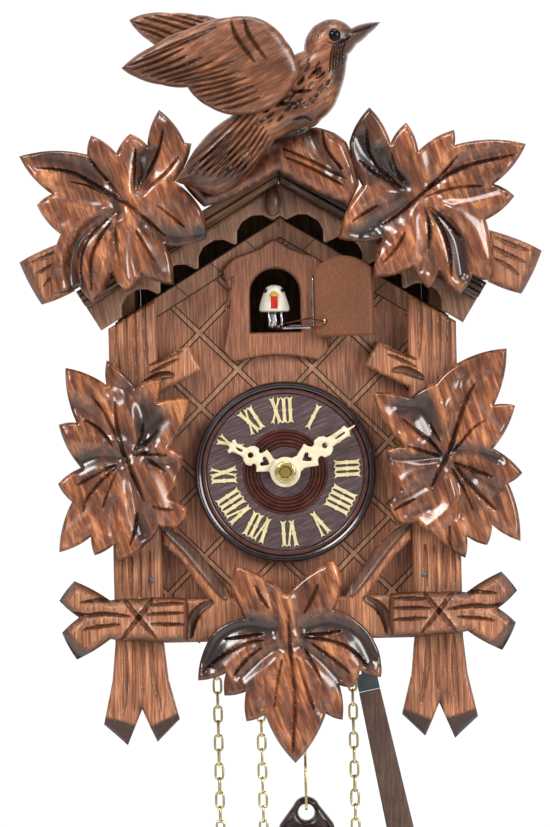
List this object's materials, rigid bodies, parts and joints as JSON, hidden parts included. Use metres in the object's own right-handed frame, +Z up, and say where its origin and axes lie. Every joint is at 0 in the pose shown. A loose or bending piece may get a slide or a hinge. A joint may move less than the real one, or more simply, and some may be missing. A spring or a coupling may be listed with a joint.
{
  "type": "cuckoo clock",
  "caption": "Carved wooden cuckoo clock with a songbird and leaves on its roof, a cuckoo behind a small door, weights on chains and a leaf pendulum; hangs on a wall.",
  "frame": {"origin": "on the back face of the hanger board, 24 mm under the centre of its hanger hole, in the plane of the wall", "axes": "+Z up, +Y from the clock into the wall, so the dial faces -Y, +X to the right as one faces the clock"},
  "size_m": [0.1824, 0.138, 0.4191],
  "materials": {
    "carved_wood": "hand-carved limewood, stained walnut brown, satin lacquer",
    "panel_wood": "reddish vertical grain, satin",
    "dark_wood": "black-brown stain, satin lacquer",
    "plain_wood": "plain sawn board, thin stain",
    "dial_wood": "turned, dark purple-brown stain",
    "stick_wood": "matt grey-brown stain",
    "ivory_plastic": "ivory, satin gloss",
    "white_plastic": "white, satin gloss",
    "brass": "bright",
    "steel": "plain",
    "cast_iron": "dark brown lacquer"
  },
  "bodies": {
    "case": {"gable_fascia": "carved_wood", "left_post": "carved_wood", "right_post": "carved_wood", "lower_rail": "carved_wood", "left_side_leaf": "carved_wood", "right_side_leaf": "carved_wood", "bottom_leaf": "carved_wood", "left_crossbranch": "carved_wood", "right_crossbranch": "carved_wood", "upper_left_leaf": "carved_wood", "upper_right_leaf": "carved_wood", "crown_branch": "carved_wood", "songbird_body": "carved_wood", "songbird_near_wing": "carved_wood", "songbird_far_wing": "carved_wood", "front_panel": "panel_wood", "door_surround": "panel_wood", "roof_left_board": "dark_wood", "roof_right_board": "dark_wood", "roof_left_moulding": "dark_wood", "roof_right_moulding": "dark_wood", "left_side_wall": "plain_wood", "right_side_wall": "plain_wood", "bottom_board": "plain_wood", "hanger_board": "plain_wood", "left_bellows_pipe": "plain_wood", "right_bellows_pipe": "plain_wood", "dial": "dial_wood", "movement_front_plate": "brass", "movement_back_plate": "brass", "cuckoo_bracket": "brass", "door_hinge_wire": "steel", "gong": "steel"},
    "back_door": {"back_door": "plain_wood"},
    "cuckoo_door": {"cuckoo_door": "panel_wood"},
    "cuckoo": {"cuckoo": "white_plastic", "cuckoo_arm": "steel"},
    "latch": {"door_latch": "steel"},
    "minute_work": {"minute_hand": "ivory_plastic", "hand_nut": "brass", "centre_wheel": "brass"},
    "hour_work": {"hour_hand": "ivory_plastic", "hour_wheel": "brass"},
    "time_great_wheel": {"time_great_wheel": "brass"},
    "escape_wheel": {"escape_wheel": "brass"},
    "strike_great_wheel": {"strike_great_wheel": "brass"},
    "strike_fly": {"strike_fly": "brass"},
    "pendulum": {"anchor": "steel", "pendulum_leader": "steel", "pendulum_stick": "stick_wood"},
    "bob": {"pendulum_bob": "carved_wood"},
    "left_weight": {"left_weight": "cast_iron", "left_chain_weight_side": "brass"},
    "left_free_chain": {"left_chain_free_side": "brass"},
    "right_weight": {"right_weight": "cast_iron", "right_chain_weight_side": "brass"},
    "right_free_chain": {"right_chain_free_side": "brass"},
    "hammer": {"gong_hammer": "steel"},
    "left_bellows_lid": {"left_bellows_lid": "plain_wood"},
    "right_bellows_lid": {"right_bellows_lid": "plain_wood"}
  },
  "joints": [
    {"name": "back_door_hinge", "type": "hinge", "parent": "case", "child": "back_door", "pos_m": [-0.0517, -0.0003, -0.056], "axis": [0, 0, 1], "range_deg": [0, 100]},
    {"name": "cuckoo_swing", "type": "hinge", "parent": "case", "child": "cuckoo", "pos_m": [0.024, -0.084, -0.0048], "axis": [0, 0, 1], "range_deg": [-35, 0]},
    {"name": "door_swing", "type": "hinge", "parent": "case", "child": "cuckoo_door", "pos_m": [0.0111, -0.0992, 0.004], "axis": [0, 0, 1], "range_deg": [-155, 0]},
    {"name": "latch_turn", "type": "hinge", "parent": "case", "child": "latch", "pos_m": [-0.017, -0.10165, 0.0125], "axis": [0, 1, 0], "range_deg": [-90, 0]},
    {"name": "minute_spin", "type": "hinge", "parent": "case", "child": "minute_work", "pos_m": [0, -0.1, -0.056], "axis": [0, 1, 0], "continuous": true},
    {"name": "hour_spin", "type": "hinge", "parent": "case", "child": "hour_work", "pos_m": [0, -0.1, -0.056], "axis": [0, 1, 0], "continuous": true},
    {"name": "time_great_spin", "type": "hinge", "parent": "case", "child": "time_great_wheel", "pos_m": [0.01355, -0.066, -0.078], "axis": [0, 1, 0], "continuous": true},
    {"name": "escape_spin", "type": "hinge", "parent": "case", "child": "escape_wheel", "pos_m": [0.0043, -0.055, -0.032], "axis": [0, 1, 0], "continuous": true},
    {"name": "strike_great_spin", "type": "hinge", "parent": "case", "child": "strike_great_wheel", "pos_m": [-0.0183, -0.066, -0.078], "axis": [0, 1, 0], "continuous": true},
    {"name": "fly_spin", "type": "hinge", "parent": "case", "child": "strike_fly", "pos_m": [-0.03, -0.06, -0.056], "axis": [0, 1, 0], "continuous": true},
    {"name": "pendulum_swing", "type": "hinge", "parent": "case", "child": "pendulum", "pos_m": [0.0043, -0.042, -0.014], "axis": [0, 1, 0], "range_deg": [0, 22.6]},
    {"name": "bob_slide", "type": "slide", "parent": "pendulum", "child": "bob", "axis": [0.196, 0, -0.9806], "range_m": [-0.012, 0.012]},
    {"name": "left_weight_slide", "type": "slide", "parent": "case", "child": "left_weight", "axis": [0, 0, -1], "range_m": [0, 0.03]},
    {"name": "left_free_slide", "type": "slide", "parent": "case", "child": "left_free_chain", "axis": [0, 0, -1], "range_m": [-0.03, 0]},
    {"name": "right_weight_slide", "type": "slide", "parent": "case", "child": "right_weight", "axis": [0, 0, -1], "range_m": [0, 0.03]},
    {"name": "right_free_slide", "type": "slide", "parent": "case", "child": "right_free_chain", "axis": [0, 0, -1], "range_m": [-0.03, 0]},
    {"name": "hammer_swing", "type": "hinge", "parent": "case", "child": "hammer", "pos_m": [-0.024, -0.036, -0.022], "axis": [0, 1, 0], "range_deg": [0, 20]},
    {"name": "left_bellows_hinge", "type": "hinge", "parent": "case", "child": "left_bellows_lid", "pos_m": [-0.0458, -0.056, -0.0277], "axis": [-1, 0, 0], "range_deg": [0, 20]},
    {"name": "right_bellows_hinge", "type": "hinge", "parent": "case", "child": "right_bellows_lid", "pos_m": [0.0458, -0.056, -0.0277], "axis": [-1, 0, 0], "range_deg": [0, 20]}
  ],
  "couplings": [
    {"joint": "door_swing", "follows": "cuckoo_swing", "ratio": 4.4286},
    {"joint": "hour_spin", "follows": "minute_spin", "ratio": 0.083333},
    {"joint": "time_great_spin", "follows": "minute_spin", "ratio": -0.18518},
    {"joint": "escape_spin", "follows": "minute_spin", "ratio": -6},
    {"joint": "fly_spin", "follows": "strike_great_spin", "ratio": -6.75},
    {"joint": "left_free_slide", "follows": "left_weight_slide", "ratio": -1},
    {"joint": "right_free_slide", "follows": "right_weight_slide", "ratio": -1}
  ]
}
